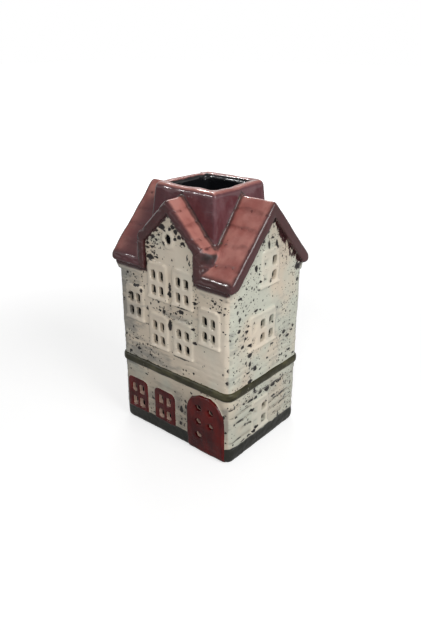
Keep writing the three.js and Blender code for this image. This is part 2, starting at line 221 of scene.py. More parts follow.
def on_face(face, along_span, z_span, out_span):
    """Corners of a block on a wall, from its spans along the wall, upwards, and outwards from its face."""
    along, out, side = FACES[face]
    reach = half_depth if out == 1 else half_width
    spans = [None, None, z_span]
    spans[along] = along_span
    spans[out] = sorted(side * (reach + distance) for distance in out_span)
    return [span[0] for span in spans], [span[1] for span in spans]


def straight_out(face):
    """A test for the edges that run straight out of a wall."""
    along = FACES[face][0]
    return lambda a, b: abs(a[along] - b[along]) < SAME and abs(a.z - b.z) < SAME


def plate_spans(node, face, pattern):
    low, high = cad_box(node)
    along = FACES[face][0]
    sill_height, sill_proud = pattern["sill"]
    return (low[along] + sill_proud, high[along] - sill_proud), (low.z + sill_height, high.z)


def arched_block(name, face, along_span, z_span, out_span, corner, segments=5):
    """A block on a wall whose two upper corners are rounded."""
    piece = block(name, *on_face(face, along_span, z_span, out_span))
    runs_out = straight_out(face)
    round_edges(piece, corner, lambda a, b: runs_out(a, b) and a.z > z_span[1] - SAME, segments)
    return piece


def grown(span, growth):
    return span[0] - growth, span[1] + growth


def window_plate(node, face, pattern, growth, out_low, out_high):
    """A plate with its sill, or with a growth and a far reach the blade that cuts it off again."""
    along_span, z_span = plate_spans(node, face, pattern)
    corner = pattern["corner"] + growth
    plate = arched_block("plate", face, grown(along_span, growth), grown(z_span, growth), (out_low, out_high),
                         corner)
    sill_height, sill_proud = pattern["sill"]
    if sill_height:
        sill_z = (z_span[0] - sill_height, z_span[0] + 0.1)
        sill = block("sill", *on_face(face, grown(along_span, sill_proud + growth), grown(sill_z, growth),
                                      (out_low, out_high + sill_proud)))
        carve(plate, sill, "UNION")
    return plate


def window_panes(node, face, pattern, columns, blind):
    (along_low, along_high), (z_low, _) = plate_spans(node, face, pattern)
    (pane_width, pane_height), (mullion, transom) = pattern["pane"], pattern["bars"]
    panes = []
    for column in range(columns):
        middle = (along_low + along_high) / 2 + (column - (columns - 1) / 2) * (pane_width + mullion)
        for row in range(2):
            z = z_low + pattern["foot"] + row * (pane_height + transom)
            depth = PLATE_PROUD - BLIND_DEPTH if column in blind else -wall - 3
            panes.append(arched_block("pane", face, (middle - pane_width / 2, middle + pane_width / 2),
                                      (z, z + pane_height), (depth, 4), PANE_CORNER, 3))
    return panes


def joined(pieces):
    take(pieces[0])
    for piece in pieces[1:]:
        piece.select_set(True)
    bpy.ops.object.join()
    return pieces[0]


cuts = []
for node, face, pattern, columns, blind in windows:
    carve(house, window_plate(node, face, pattern, 0, -PLATE_BED, PLATE_PROUD), "UNION")
    if pattern is not RED_PANES:
        along_span, z_span = plate_spans(node, face, pattern)
        bead = block("bead", *on_face(face, grown(along_span, -pattern["corner"] * 0.7),
                                      (z_span[1] - BEAD_HEIGHT, z_span[1]),
                                      (-PLATE_BED, PLATE_PROUD + BEAD_PROUD)))
        carve(house, bead, "UNION")
    cuts += window_panes(node, face, pattern, columns, blind)
carve(house, joined(cuts))

# Round window
# A ring of clay pressed round the oval hole near the top of the dormer, in the same cream glaze.
OCULUS = (4.9, 6.4)
ring_low, ring_high = cad_box("oculus_ring")
oculus_z = (ring_low.z + ring_high.z) / 2


def oval_tool(x, z, width, height, low_y, high_y):
    bpy.ops.object.select_all(action="DESELECT")
    bpy.ops.mesh.primitive_cylinder_add(vertices=24, radius=MM / 2, depth=(high_y - low_y) * MM,
                                        location=(x * MM, (low_y + high_y) / 2 * MM, z * MM),
                                        rotation=(math.pi / 2, 0, 0), scale=(width, height, 1))
    bpy.ops.object.transform_apply(location=True, rotation=True, scale=True)
    return bpy.context.object


ring_width = ring_high.x - ring_low.x
ring_height = ring_high.z - ring_low.z
through = (-half_depth - 5, -half_depth + wall + 3)
ring = oval_tool(0, oculus_z, ring_width, ring_height, -half_depth - PLATE_PROUD, -half_depth + 3)
carve(house, ring, "UNION")
carve(house, oval_tool(0, oculus_z, *OCULUS, *through))

# Front door
# A thick arched leaf cut by hand from a slab and pressed over wall and foot down to the table, with five holes
# poked through it, under deep red gloss glaze.
DOOR_HOLE = (4.8, 4.2)
DOOR_HOLE_SPACING = 9.8
DOOR_HOLE_DROP = 10.2
DOOR_HEEL = 13.0
DOOR_HEEL_PROUD = 0.4
CROWN_SLANT = (16.7, 38.9)
CROWN_LEVEL = (27.0, 42.6)
door_low, door_high = cad_box("front_door")
door_middle = (door_low.x + door_high.x) / 2


def door_leaf(growth, low_y, high_y):
    half = (door_high.x - door_low.x) / 2 + growth
    leaf = block("leaf", (door_middle - half, low_y, door_low.z - growth),
                 (door_middle + half, high_y, door_high.z + growth))
    round_edges(leaf, half - 0.1, lambda a, b: along_y(a, b) and a.z > 1, 12)
    # The crown is trimmed by hand, in one slanting cut and one that is nearly level
    x, z = CROWN_SLANT
    slice_off(leaf, (x - growth * 0.45, 0, z + growth * 0.9), (-0.45, 0, 0.89))
    x, z = CROWN_LEVEL
    slice_off(leaf, (x, 0, z + growth), (-0.08, 0, 1.0))
    return leaf


leaf = door_leaf(0, door_low.y, -half_depth + 3)
slope_in = math.atan2(-door_low.y - half_depth - DOOR_HEEL_PROUD, DOOR_HEEL)
slice_off(leaf, (0, door_low.y, DOOR_HEEL), (0, -math.cos(slope_in), -math.sin(slope_in)))
round_edges(leaf, FOOT_RADIUS - 0.4, lambda a, b: max(a.z, b.z) < SAME and max(a.y, b.y) < -half_depth)
carve(house, leaf, "UNION")
door_holes = []
for row, columns in ((0, 2), (1, 2), (2, 1)):
    for column in range(columns):
        x = door_middle + (column - 0.5) * DOOR_HOLE_SPACING
        z = door_high.z - DOOR_HOLE_DROP - row * DOOR_HOLE_SPACING
        door_holes.append(oval_tool(x, z, *DOOR_HOLE, *through))
carve(house, joined(door_holes))

# Firing and glazing of the walls
# In the kiln the joints close and all edges go soft. A cream gloss glaze lies over dark slip and crawls back
# from it in specks; door and two windows are brushed deep red. Then the body is cut into its pieces.
FAR = 100
CLAY_GRAIN = 0.5
CLAY_MELT = 9
SKIN_REACH = 0.06
SEAM_GROWTH = 0.3
SEAM_INSET = 0.7
SMOOTH_BELOW = math.radians(50)
FLOOR = 5.0
STOREY_LINE = 44.0
RIB_PITCH = 6.0
BOARD_PITCH = 4.1


def sums(operation):
    """The methods of a Wire for one sum, with the wire as its first value and as its second."""
    return (lambda self, other: self.math(operation, self, other),
            lambda self, other: self.math(operation, other, self))


class Wire:
    """A socket of a node, so that sums on it are written as sums and add their Math nodes."""

    __add__, __radd__ = sums("ADD")
    __sub__, __rsub__ = sums("SUBTRACT")
    __mul__, __rmul__ = sums("MULTIPLY")
    __truediv__ = sums("DIVIDE")[0]
    low = sums("MINIMUM")[0]
    high = sums("MAXIMUM")[0]
    below = sums("LESS_THAN")[0]

    def __init__(self, recipe, socket):
        self.recipe = recipe
        self.socket = socket

    def math(self, operation, *values):
        return self.recipe.node("ShaderNodeMath", {"operation": operation}, dict(enumerate(values)))

    def __abs__(self):
        return self.math("ABSOLUTE", self)

    def nearest_whole(self):
        return self.math("ROUND", self)

    def cosine(self):
        return self.math("COSINE", self)


class Recipe:
    """A node tree written as maths on the place in millimetres, for a glaze or for the relief of the clay."""

    def __init__(self, tree, kind, output=0):
        self.tree = tree
        self.metres = self.node(kind, {}, {}, output)
        self.place = self.node("ShaderNodeVectorMath", {"operation": "SCALE"},
                               {"Vector": self.metres, "Scale": 1 / MM})
        self.x, self.y, self.z = self.split(self.place)

    def node(self, kind, settings, values, output=0):
        made = self.tree.nodes.new(kind)
        for name, value in settings.items():
            setattr(made, name, value)
        for name, value in values.items():
            if isinstance(value, Wire):
                self.tree.links.new(value.socket, made.inputs[name])
            else:
                made.inputs[name].default_value = value
        return Wire(self, made.outputs[output]) if made.outputs else None

    def split(self, vector):
        return [self.node("ShaderNodeSeparateXYZ", {}, {"Vector": vector}, axis) for axis in "XYZ"]

    def vector(self, operation, *values):
        return self.node("ShaderNodeVectorMath", {"operation": operation}, dict(enumerate(values)))

    def length(self, vector):
        return self.node("ShaderNodeVectorMath", {"operation": "LENGTH"}, {0: vector}, "Value")

    def point(self, x, y, z=0.0):
        return self.node("ShaderNodeCombineXYZ", {}, {"X": x, "Y": y, "Z": z})

    def rise(self, value, start, end):
        return self.node("ShaderNodeMapRange", {"interpolation_type": "SMOOTHSTEP"},
                         {"Value": value, "From Min": start, "From Max": end})

    def fall(self, value, start, end):
        return 1 - self.rise(value, start, end)

    def scaled(self, size, stretch, seed):
        shrunk = self.vector("MULTIPLY", self.place, [1 / (size * s) for s in stretch])
        return self.vector("ADD", shrunk, (seed * 7.3, seed * 3.1, seed * 5.7))

    def noise(self, size, detail=1.0, stretch=(1, 1, 1), seed=0):
        return self.node("ShaderNodeTexNoise", {},
                         {"Vector": self.scaled(size, stretch, seed), "Scale": 1.0, "Detail": detail})

    def sway(self, size, reach, detail=1, seed=0):
        """A noise that swings evenly to both sides."""
        return (self.noise(size, detail, seed=seed) - 0.5) * reach

    def mix(self, factor, a, b):
        return self.node("ShaderNodeMix", {"data_type": "RGBA"}, {0: factor, 6: a, 7: b}, 2)

    def ball(self, middle, reach):
        """How far a place is from a middle, as a share of the reach along each axis."""
        offset = self.vector("SUBTRACT", self.place, middle)
        return self.length(self.vector("MULTIPLY", offset, [1 / size for size in reach]))

    def specks(self, pitch, radius, share, stretch=(1, 1, 1), seed=0):
        """Ragged specks of uneven size, one to a cell, in the share of the cells that a mask gives."""
        ragged = self.node("ShaderNodeTexNoise", {},
                           {"Vector": self.scaled(pitch * 0.3, (1, 1, 1), seed), "Scale": 1.0,
                            "Detail": 2.0}, "Color")
        push = self.vector("MULTIPLY", ragged, (0.55, 0.55, 0.55))
        cell = self.vector("ADD", self.scaled(pitch, stretch, seed), push)
        cells = {"Vector": cell, "Scale": 1.0}
        away = self.node("ShaderNodeTexVoronoi", {"feature": "F1"}, cells, "Distance")
        lot, size = self.split(self.node("ShaderNodeTexVoronoi", {"feature": "F1"}, cells, "Color"))[:2]
        reach = (0.3 + size * 0.9) * (radius / pitch)
        return self.fall(away / reach, 0.7, 1.1) * lot.below(share)

    def marks(self, across, up, places, ragged, soft):
        """Marks at chosen places on one face: each is (across, up, half its width, half its height)."""
        place = self.point(across + self.sway(1.7, ragged, 3, 21), up + self.sway(1.7, ragged, 3, 22))
        nearest = None
        for u, v, half_across, half_up in places:
            offset = self.vector("SUBTRACT", place, (u, v, 0))
            away = self.length(self.vector("MULTIPLY", offset, (1 / half_across, 1 / half_up, 0)))
            nearest = away if nearest is None else nearest.low(away)
        return self.fall(nearest, 1 - soft, 1 + soft)


def tint(code):
    """Six hex digits of a colour, as the linear values that a node takes."""
    parts = [int(code[i:i + 2], 16) / 255 for i in (0, 2, 4)]
    return [part / 12.92 if part <= 0.04045 else ((part + 0.055) / 1.055) ** 2.4 for part in parts] + [1.0]


def relief(name, depth):
    """A modifier group that moves the skin of the clay along its normal by depth, within the outer sizes."""
    group = bpy.data.node_groups.new(name, "GeometryNodeTree")
    for way in ("INPUT", "OUTPUT"):
        group.interface.new_socket("Geometry", in_out=way, socket_type="NodeSocketGeometry")
    recipe = Recipe(group, "GeometryNodeInputPosition")
    start = recipe.node("NodeGroupInput", {}, {})
    normal = recipe.node("GeometryNodeInputNormal", {}, {})
    push = recipe.node("ShaderNodeVectorMath", {"operation": "SCALE"},
                       {"Vector": normal, "Scale": depth(recipe) * MM})
    moved = recipe.vector("ADD", recipe.metres, push)
    moved = recipe.vector("MINIMUM", moved, cad_high)
    moved = recipe.vector("MAXIMUM", moved, cad_low)
    pressed = recipe.node("GeometryNodeSetPosition", {}, {"Geometry": start, "Position": moved})
    recipe.node("NodeGroupOutput", {}, {"Geometry": pressed})
    return group


def fire(piece, grain, melts, group):
    """Closes the raw joints, softens the edges as fired clay has them, and presses the relief in."""
    take(piece)
    clay = piece.modifiers.new("clay", "REMESH")
    clay.mode = "VOXEL"
    clay.voxel_size = grain * MM
    melt = piece.modifiers.new("melt", "SMOOTH")
    melt.factor = 0.5
    melt.iterations = melts
    pressed = piece.modifiers.new("pressed", "NODES")
    pressed.node_group = group
    for modifier in (clay, melt, pressed):
        bpy.ops.object.modifier_apply(modifier=modifier.name)


def copied(piece, name):
    take(piece)
    bpy.ops.object.duplicate(linked=False)
    copy = bpy.context.object
    copy.name = name
    return copy


def skin_of(piece):
    """A copy of a fired body before it is cut."""
    skin = copied(piece, "fired_skin")
    bpy.ops.object.shade_smooth()
    return skin


def blank_material(name):
    """A material with nothing in it yet, and the recipe that fills it."""
    material = bpy.data.materials.new(name)
    material.use_nodes = True
    material.node_tree.nodes.clear()
    return material, Recipe(material.node_tree, "ShaderNodeTexCoord", "Object")


def glaze(name, paint, shine=0.5, bump_depth=0.25):
    """A gloss glaze: paint(recipe) gives its colour, its roughness and the height of its skin."""
    material, recipe = blank_material(name)
    colour, roughness, height = paint(recipe)
    bump = recipe.node("ShaderNodeBump", {}, {"Strength": 1.0, "Distance": bump_depth * MM,
                                              "Height": height})
    shader = recipe.node("ShaderNodeBsdfPrincipled", {},
                         {"Base Color": colour, "Roughness": roughness, "Normal": bump,
                          "Specular IOR Level": shine})
    recipe.node("ShaderNodeOutputMaterial", {}, {"Surface": shader})
    return material


def finish_piece(piece, skin, material, slot, node):
    """Glazes a fired piece, smooth over its seams as the skin is, and shows it in the place of its node."""
    take(piece)
    bpy.ops.object.shade_smooth_by_angle(angle=SMOOTH_BELOW)
    if skin:
        run_on = piece.modifiers.new("run_on", "DATA_TRANSFER")
        run_on.object = skin
        run_on.use_loop_data = True
        run_on.data_types_loops = {"CUSTOM_NORMAL"}
        run_on.loop_mapping = "POLYINTERP_NEAREST"
        run_on.use_max_distance = True
        run_on.max_distance = SKIN_REACH * MM
        bpy.ops.object.modifier_apply(modifier=run_on.name)
    piece.data.materials.clear()
    piece.data.materials.append(material)
    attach(piece, "root")
    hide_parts(node)


def proud(r):
    """How far a place stands out of the plane of its wall."""
    return (abs(r.x) - half_width).high(abs(r.y) - half_depth)


def to_side(r):
    """0 on the front and the back, 1 on the two sides, changing over at the round corners."""
    return r.rise((abs(r.x) - half_width) - (abs(r.y) - half_depth), -1.2, 1.2)


def on_front(r):
    """1 on the front, 0 on the sides and the back."""
    return (1 - to_side(r)) * r.fall(r.y, -1, 1)


def ribs(r):
    """Pressed boards: 1 on the crown of each and -1 in the line between two, strong only in the low storey."""
    wave = r.sway(16, 4, 2, 2)
    low = r.fall(r.z, STOREY_LINE - 1, STOREY_LINE + 1)
    coarse = ((r.z + wave) * (2 * math.pi / RIB_PITCH)).cosine() * low * to_side(r)
    fine = ((r.z + wave) * (2 * math.pi / BOARD_PITCH)).cosine() * (1 - low)
    faint = r.fall(r.z, 62, 72) * 0.45 + r.rise(r.noise(14, 1, seed=3), 0.5, 0.64) * 0.25
    off_plates = r.fall(proud(r), 0.1, 0.7)
    worn_away = r.rise(r.noise(11, 1, seed=4), 0.3, 0.55)
    return (coarse + fine * faint) * off_plates * worn_away


def wall_relief(r):
    swell = r.sway(17, 1.0, seed=5) + r.sway(4.2, 0.5, 2, 8)
    return ribs(r) * 0.17 + swell


fire(house, CLAY_GRAIN, CLAY_MELT, relief("pressed boards", wall_relief))
wall_skin = skin_of(house)
carve(house, block("chamber", (-half_width + wall, -half_depth + wall, FLOOR),
                   (half_width - wall, half_depth - wall, ridge_z + 5)))

CREAM_WARM = tint("d6c8b4")
CREAM_COOL = tint("c9cabb")
CREAM_FILM = tint("868580")
CREAM_STAIN_AND_SHADE = tint("8d8373")
CREAM_THICK = tint("e6dac8")
SLIP = tint("1c1615")
PLINTH_GLAZE = tint("1c1c18")
PLINTH_PALE = tint("36362d")
ROOF_LAP = tint("3a1d1e")
INSIDE = tint("141518")
PLINTH_TOP = 10.7

# Bare marks on the front and on the right side: across the face, up, half the width and half the height
FRONT_MARKS = (
    (0, 106.5, 1.2, 2.4), (0, 102.2, 1.3, 2.2), (-0.2, 82, 1.6, 3.6), (10.5, 96.3, 5.6, 0.7),
    (8.5, 93.4, 2.2, 1.3), (8, 62.5, 6.2, 0.8), (-15, 63.3, 5.2, 0.6), (4.6, 91.3, 1.1, 0.9),
    (-28, 101.2, 2.6, 0.9), (-9.7, 95.4, 1.2, 1.2), (-36, 108, 0.9, 0.9), (-8.5, 90, 1.1, 0.8),
    (18.5, 85, 1.3, 0.9), (19.6, 76.1, 1.9, 1), (20, 102, 1.5, 0.8), (33, 107, 1.2, 0.8),
    (39.3, 109.2, 0.9, 0.7), (38, 101.6, 1, 0.8), (-29, 57, 1.5, 1.2), (44.3, 65.6, 0.9, 1.6),
    (43.6, 57.6, 0.9, 1.3), (-37, 53, 1.2, 0.9), (17.7, 55.1, 1, 0.9), (-0.4, 149.7, 1, 0.8),
    (-2.2, 146.9, 1.1, 0.6), (-4.8, 142.8, 2.5, 1.9), (-2.4, 140.9, 1.4, 0.6), (-9, 139.8, 1.1, 0.8),
    (-7.6, 137.5, 1.1, 0.9), (-12.4, 135.4, 1.8, 1.3), (-17.2, 130.8, 1.3, 1.1), (-17.6, 128, 2.1, 0.7),
    (-13.6, 129.1, 2, 0.8), (-15.4, 122.3, 3.2, 1.6), (-10.2, 123.2, 1.5, 0.6), (3.4, 143.9, 1.4, 1.5),
    (5.9, 141.4, 1.5, 1.5), (8.3, 138.7, 1.5, 1.3), (5.4, 137.2, 1.1, 0.9), (10.9, 135.6, 1.7, 1),
    (14.4, 128, 0.5, 1.9), (15.9, 125.2, 0.5, 1.8), (1.6, 142.3, 0.8, 1), (7.3, 25.2, 1.7, 1.9),
    (11.2, 28.8, 0.8, 1.8), (-17.5, 23.5, 2.4, 0.8), (6.5, 14.6, 1.2, 1.4), (-9.7, 133.8, 1.2, 0.9),
    (-31, 63.6, 1.5, 0.6), (-18.9, 55.5, 1.2, 0.8), (10.8, 32.8, 1, 1.1), (-23.4, 39.9, 1.4, 0.6),
    (-17.2, 12.9, 1.5, 0.8), (41.8, 33.8, 0.7, 1.4), (42.6, 22.9, 0.7, 0.7), (16, 40.8, 0.9, 0.7),
    (-18.6, 117.6, 1.2, 1.5),
)
SIDE_MARKS = (
    (-4, 142, 2, 1.5), (-7, 136.8, 1.3, 1.2), (-1.6, 133.6, 1.2, 2.2), (6.2, 132.5, 1.1, 2.5),
    (-13, 122.6, 1.2, 2.1), (-9, 113.6, 1.1, 0.8), (-27, 108.6, 1.2, 0.8), (-12, 96.6, 1.8, 0.8),
    (-27.5, 96, 1.3, 1.1), (-27.6, 88.9, 1.4, 1.2), (-20.5, 85.9, 1.4, 1.1), (-24, 84.8, 0.8, 0.7),
    (-21.3, 81.8, 1.1, 1), (-30.6, 84, 0.8, 0.7), (-17.6, 76.4, 1.6, 1.2), (-24.3, 77.3, 1.6, 1),
    (-16.6, 69.5, 2.3, 1.8), (-20.8, 65.6, 1, 0.8), (-16.5, 63.2, 1.2, 1.5), (-11.3, 58.4, 1.7, 1.8),
    (-6, 55.8, 1, 0.6), (-18, 57.9, 1.9, 0.6), (-15.9, 51.2, 2.3, 1.3), (1, 60.7, 1.2, 0.7),
    (16.9, 57, 1, 0.8), (22.2, 53.2, 1.1, 0.8), (30.3, 52.9, 1.6, 0.8), (18.3, 72.2, 1.8, 1.5),
    (22.6, 68.2, 2, 1), (14.4, 70.7, 1.1, 1.1), (28.5, 73, 1.3, 1), (26.6, 70.7, 1.4, 0.7),
    (30.6, 112.8, 3.9, 2.2), (30.4, 104, 1.3, 1.3), (-4.3, 71.2, 3.3, 0.5), (6.4, 68.7, 1, 0.6),
    (-11.1, 43, 1, 2.6), (-14.8, 37.2, 3, 0.8), (-9.6, 37, 1.8, 0.9), (-4.6, 38.3, 2.2, 0.9),
    (2.4, 37.8, 2.6, 1.3), (8.6, 38.1, 2.4, 1), (15.4, 38.2, 3, 0.8), (-13.7, 29.8, 2.4, 1.1),
    (-21.6, 37.8, 1.2, 0.7), (-27.8, 40.5, 1, 0.6), (9.2, 29.9, 2.3, 0.9), (-9, 15.4, 1.9, 0.8),
    (-12.3, 14, 2, 0.9), (-16.2, 12.6, 1.7, 0.8), (-22, 11.9, 2, 0.7), (16.2, 11.6, 1.1, 1),
    (-19.8, 22.3, 0.9, 1.1), (-28.8, 31.9, 1.2, 0.7), (-30.4, 39.5, 0.6, 1.2), (-30.4, 27.2, 0.7, 0.7),
    (28.6, 30.6, 0.9, 0.7), (8, 141.5, 1.2, 0.8), (2, 137.3, 1.8, 0.6), (24.5, 57.5, 1.9, 0.9),
    (2, 146.5, 1.2, 0.8), (19.5, 130.8, 1.5, 0.9), (22.5, 22.8, 1, 0.7),
)
# Where the glaze on the front runs thin and grey, partly as painted shade, and where it lies thick, clean and
# pale, partly as painted light
FRONT_FILM_AND_SHADE = ((-40, 85, 14, 40), (-10, 92, 22, 7), (-26, 54, 16, 6), (44, 60, 3, 6), (-30, 20, 30, 12),
              (10, 24, 14, 16), (43, 28, 4, 10))
FRONT_THICK_AND_LIGHT = ((5, 126, 15, 10), (37, 78, 9, 28), (28, 66, 18, 10), (-14, 100, 9, 14), (9, 106, 8, 12),
               (4, 72, 14, 9))
# Where the glaze crawls most, on the same two faces
FRONT_CROWDS = ((-26, 57, 17, 9), (-31, 101, 14, 9), (0, 90, 15, 5), (-15, 128, 8, 14), (0, 143, 9, 7),
                (12, 139, 6, 5), (18, 80, 5, 8), (20, 106, 4, 8), (-17, 18, 4, 9), (8, 24, 4, 12),
                (38, 104, 8, 9), (-28, 64, 15, 4))
SIDE_CROWDS = ((-18, 72, 13, 27), (22, 74, 11, 24), (0, 138, 15, 11), (-14, 116, 10, 10), (22, 124, 12, 10),
               (30, 106, 7, 16), (-27, 96, 9, 16), (10, 128, 12, 7), (0, 40, 28, 5), (24, 28, 12, 16))


def cream_body(r):
    """The cream glaze, warm and cool in turn, with a grey film where it runs thin, and painted light and shade.
    """
    front = on_front(r)
    warm = r.rise(r.noise(26, 2, seed=11) + front * 0.2 - 0.06, 0.36, 0.64)
    colour = r.mix(warm, CREAM_COOL, CREAM_WARM)
    streaks = r.noise(3.6, 4, (2.2, 2.2, 0.7), 12)
    cloud = r.noise(19, 2, seed=13)
    corner = r.rise((abs(r.x) - half_width).low(abs(r.y) - half_depth), -7, -1)
    # Partly painted light and shade: some patches of the front are painted paler and others greyer
    thick = r.marks(r.x, r.z, FRONT_THICK_AND_LIGHT, 0, 0.6) * front
    film = r.marks(r.x, r.z, FRONT_FILM_AND_SHADE, 0, 0.8) * front * 0.25 - thick * 0.4
    colour = r.mix(thick * 0.6, colour, CREAM_THICK)
    thin = r.rise(cloud * 0.55 + streaks * 0.55 + corner * 0.1 + film, 0.57, 0.86)
    colour = r.mix(thin * 0.8, colour, CREAM_FILM)
    # Painted shade: the low storey, most on the front, and the walls high up except on the front are painted
    # darker
    painted_shade = r.fall(r.z, 36, 47) * (front * 0.2 + 0.16) + r.rise(r.z, 112, 138) * (1 - front) * 0.2
    return r.mix(painted_shade, colour, CREAM_STAIN_AND_SHADE), thin


def roof_lap(r):
    """Where the roof glaze runs down over the cream, with ragged fingers along the far verges."""
    fringe = r.noise(2.4, 3, (1, 1, 1.8), 23)
    main_plane = below_ridge(ROOF_THICKNESS, ROOF_PITCH) - abs(r.y) * math.tan(ROOF_PITCH)
    depth = (main_plane - r.z) * math.cos(ROOF_PITCH)
    side = to_side(r)
    reach = r.rise(fringe, 0.3, 0.75) * (1.3 + r.rise(r.y, 2, 10) * 4.6)
    on_side = r.rise(reach - depth, -0.2, 0.3) * side
    dormer_plane = below_ridge(DORMER_THICKNESS, DORMER_PITCH) - abs(r.x)
    dormer_depth = ((dormer_plane - r.z) * math.cos(DORMER_PITCH)).low(cheek_low.x - abs(r.x))
    on_gable = r.rise(r.rise(fringe, 0.3, 0.75) * 1.8 - dormer_depth, -0.2, 0.3) * r.rise(r.z, 111, 113)
    return on_side.high(on_gable * r.rise(0 - r.y, half_depth - 2, half_depth - 1))


def shade_inside(r, colour, depth):
    """Painted shade: the glaze is painted nearly black deeper in a hole and inside the house."""
    past_x = (abs(r.x) - (half_width - CORNER_RADIUS)).high(0)
    past_y = (abs(r.y) - (half_depth - CORNER_RADIUS)).high(0)
    into = CORNER_RADIUS - r.length(r.point(past_x, past_y))
    ragged = r.sway(2, 1.2, 2, 31) + depth
    return r.mix(r.rise(into - ragged, 0.0, 0.9), colour, INSIDE)


def cream_paint(r):
    colour, thin = cream_body(r)
    plate = r.rise(proud(r), 0.2, 0.9)
    colour = r.mix(plate * 0.4, colour, CREAM_THICK)
    groove = r.rise(0 - ribs(r), 0.25, 0.95)
    colour = r.mix(groove * 0.4, colour, CREAM_STAIN_AND_SHADE)
    front = on_front(r)
    right = to_side(r) * r.rise(r.x, -1, 1)
    crowd = r.marks(r.x, r.z, FRONT_CROWDS, 0, 0.7) * front
    crowd = crowd.high(r.marks(r.y, r.z, SIDE_CROWDS, 0, 0.7) * right)
    elsewhere = r.rise(r.noise(20, 1, seed=14), 0.45, 0.65) * (1 - front.high(right))
    crowd = crowd.high(elsewhere * 0.8)
    share = (crowd * 0.62 + 0.1) * (1 - plate * 0.85)
    specks = r.specks(4.2, 1.3, share * 0.8, (1, 1, 1.15), 15)
    specks = specks.high(r.specks(2.4, 0.72, share, (1, 1, 1.1), 16))
    specks = specks.high(r.specks(1.4, 0.4, share * 0.95, (1, 1, 1), 25))
    dashes = groove * r.rise(r.noise(4.5, 3, (2.4, 2.4, 0.5), 17), 0.54, 0.6) * r.fall(r.z, 44, 47)
    marks = r.marks(r.x, r.z, FRONT_MARKS, 2.3, 0.16) * front
    marks = marks.high(r.marks(r.y, r.z, SIDE_MARKS, 2.1, 0.16) * right)
    bare = specks.high(dashes).high(marks)
    colour = r.mix(bare, colour, SLIP)
    lap = roof_lap(r)
    colour = r.mix(lap, colour, ROOF_LAP)
    ragged = r.sway(6, right * 2.4 + 1.2, 3, 18)
    plinth = r.fall(r.z + ragged, PLINTH_TOP - 0.25, PLINTH_TOP + 0.25)
    colour = r.mix(plinth, colour, r.mix(r.noise(5, 3, seed=19) * 0.5, PLINTH_GLAZE, PLINTH_PALE))
    # Painted shade in the holes and inside the house, starting nearly at the face in the round window
    at_oculus = r.fall(r.ball((0, -half_depth, oculus_z), (3.4, 9, 4.2)), 0.9, 1.0)
    colour = shade_inside(r, colour, 1.2 - at_oculus * 1.1)
    roughness = 0.1 + thin * 0.16 + bare * 0.2 + plinth * 0.2
    height = r.noise(1.6, 2, seed=20) * 0.2 - bare * 0.5
    return colour, roughness, height


RED_DEEP = tint("430c0e")
RED_BRIGHT = tint("621613")
RED_SPECK = tint("2a1110")
PANE_CREAM = tint("e8cdbd")
PANE_SHADE = tint("b0907f")


def red_paint(r):
    """Deep red on the face of a plate; in its holes the cream of the wall shows, then painted shade, nearly
    black.
    """
    run = r.rise(r.noise(9, 3, (1, 1, 2), 91), 0.36, 0.68)
    colour = r.mix(run, RED_DEEP, RED_BRIGHT)
    colour = r.mix(r.specks(5, 0.5, 0.2, seed=92), colour, RED_SPECK)
    ragged = r.sway(2.2, 1.0, 2, 93)
    into = r.y + half_depth + ragged
    cream = r.mix(r.noise(3, 2, seed=94), PANE_SHADE, PANE_CREAM)
    off_edge = abs(r.x - door_low.x).low(abs(r.x - door_high.x))
    colour = r.mix(r.rise(into, -0.4, 0.2) * r.rise(off_edge, 0.9, 1.6) * r.rise(r.z, 10, 10.8), colour, cream)
    # Painted shade deeper in the holes, starting sooner in the door's holes and soonest in its upper ones
    deep = into + r.rise(r.x, door_low.x - 2, door_low.x) * (2.8 + r.rise(r.z, 20, 27) * 1.4)
    colour = r.mix(r.rise(deep, 4.0, 5.2), colour, INSIDE)
    return colour, 0.12 + r.noise(5, 2, seed=95) * 0.14, r.noise(1.4, 2, seed=96) * 0.3


cream_glaze = glaze("cream glaze on dark slip", cream_paint, 0.4)
red_glaze = glaze("deep red glaze", red_paint, 0.25)


def parted(body, tool, name):
    """Cuts the part of a body that lies in a tool off, as a piece of its own."""
    piece = copied(body, name)
    carve(piece, copied(tool, "blade"), "INTERSECT")
    carve(body, tool)
    return piece


def separated(body):
    """Splits a body into its loose parts."""
    take(body)
    bpy.ops.object.mode_set(mode="EDIT")
    bpy.ops.mesh.select_all(action="SELECT")
    bpy.ops.mesh.separate(type="LOOSE")
    bpy.ops.object.mode_set(mode="OBJECT")
    return list(bpy.context.selected_objects)


def middle_of(piece):
    places = [vertex.co for vertex in piece.data.vertices]
    return sum(places, Vector()) / len(places) / MM


blades = [window_plate(node, face, pattern, SEAM_GROWTH, -PLATE_BED, 4) for node, face, pattern, *_ in windows]
blades.append(oval_tool(0, oculus_z, ring_width + 2 * SEAM_GROWTH, ring_height + 2 * SEAM_GROWTH,
                        -half_depth - 5, -half_depth + PLATE_BED))
blades.append(door_leaf(SEAM_GROWTH, -half_depth - 5, -half_depth + PLATE_BED))
pressed_on = [node for node, *_ in windows] + ["oculus_ring", "front_door"]
pieces = {}
for piece in separated(parted(house, joined(blades), "pressed_on")):
    middle = middle_of(piece)
    node = min(pressed_on, key=lambda name: (sum(cad_box(name), Vector()) / 2 - middle).length)
    pieces[node] = piece if node not in pieces else joined([pieces[node], piece])
front_edge = -half_depth + wall + SEAM_INSET
for node, low, high in (("base_tray", (-FAR, -FAR, -1), (FAR, FAR, plinth_z)),
                        ("front_wall", (-FAR, -FAR, 0), (FAR, front_edge, 2 * FAR)),
                        ("back_wall", (-FAR, -front_edge, 0), (FAR, FAR, 2 * FAR)),
                        ("left_gable_wall", (-FAR, -FAR, 0), (0, FAR, 2 * FAR))):
    pieces[node] = parted(house, block("room", low, high), node)
